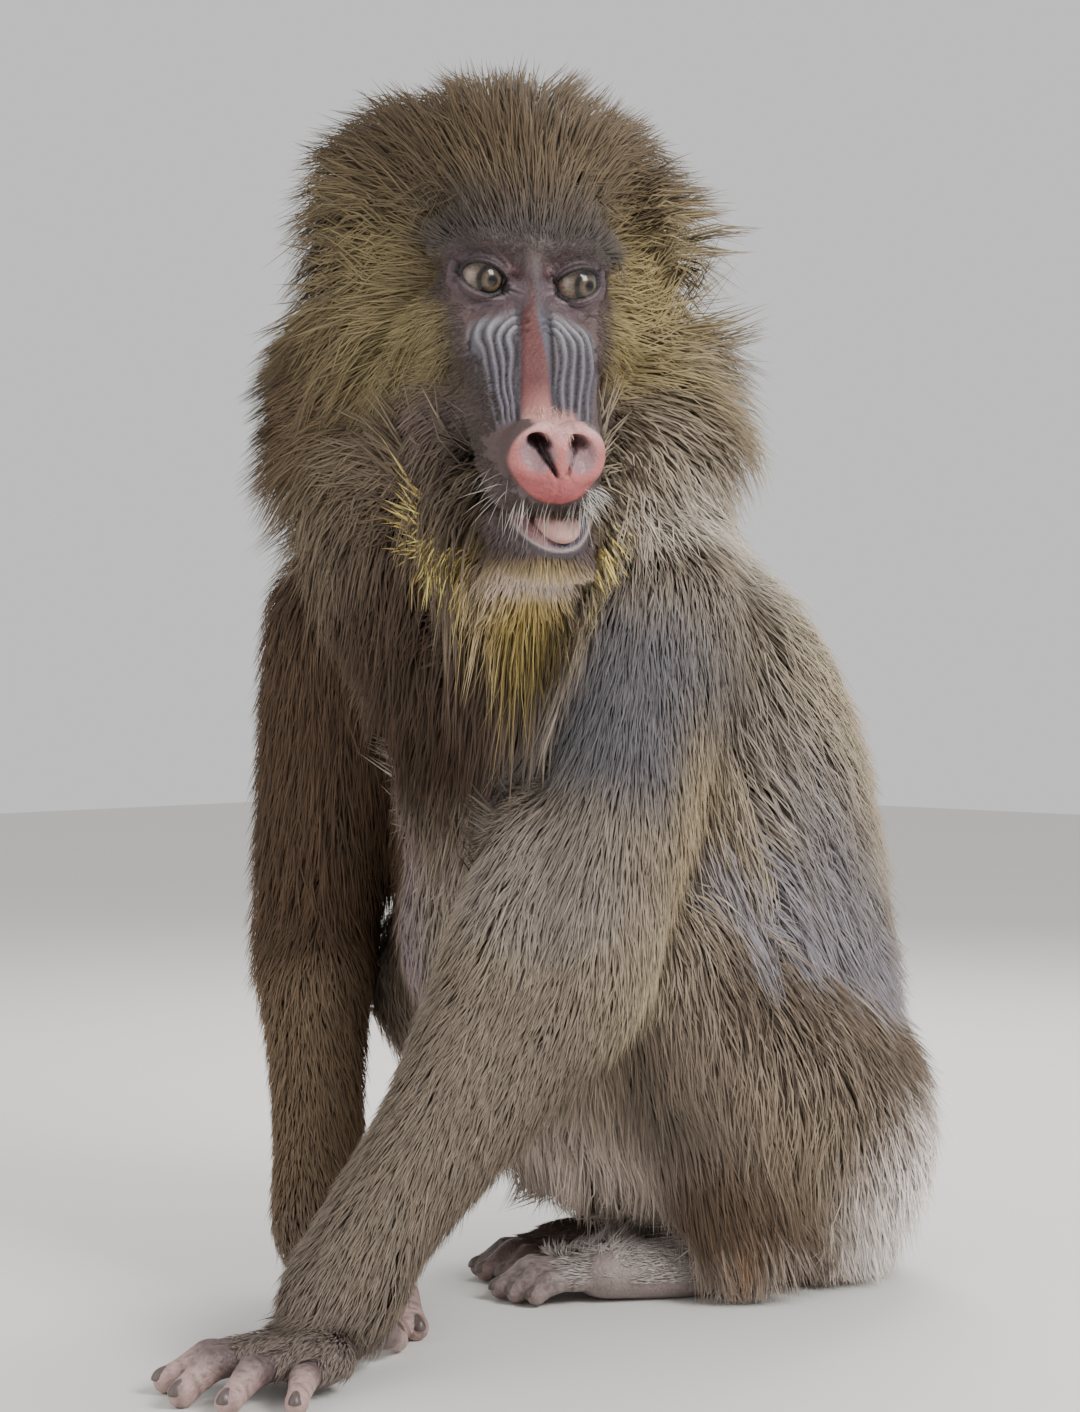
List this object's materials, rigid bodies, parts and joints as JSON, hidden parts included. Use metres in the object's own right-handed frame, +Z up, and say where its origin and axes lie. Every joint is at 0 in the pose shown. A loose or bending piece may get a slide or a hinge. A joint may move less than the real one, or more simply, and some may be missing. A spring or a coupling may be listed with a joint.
{
  "type": "mandrill",
  "caption": "Life-size still model of a young mandrill sitting with both hands planted on the floor in front of it, head turned towards the viewer.",
  "frame": {"origin": "middle of the model's footprint box, on the floor", "axes": "+Z up; the trunk faces -Y, and the head is turned towards the animal's left"},
  "size_m": [0.2878, 0.5158, 0.6346],
  "materials": {
    "coat_olive": "long olive-brown fur",
    "coat_grey": "long grey-beige fur",
    "skin_grey": "bare grey skin",
    "eye": "wet and glossy",
    "tongue": "moist and smooth"
  },
  "bodies": {
    "root": {"head": "coat_olive", "jaw": "coat_olive", "neck": "coat_olive", "chest": "coat_grey", "abdomen": "coat_grey", "tail": "coat_grey", "upper_arm_left": "coat_olive", "upper_arm_right": "coat_olive", "forearm_left": "coat_olive", "forearm_right": "coat_olive", "hand_left": "skin_grey", "hand_right": "skin_grey", "thigh_left": "coat_olive", "thigh_right": "coat_olive", "shin_left": "coat_olive", "shin_right": "coat_olive", "foot_left": "skin_grey", "foot_right": "skin_grey", "eye_left": "eye", "eye_right": "eye", "ear_left": "skin_grey", "ear_right": "skin_grey", "tongue": "tongue"}
  },
  "joints": []
}
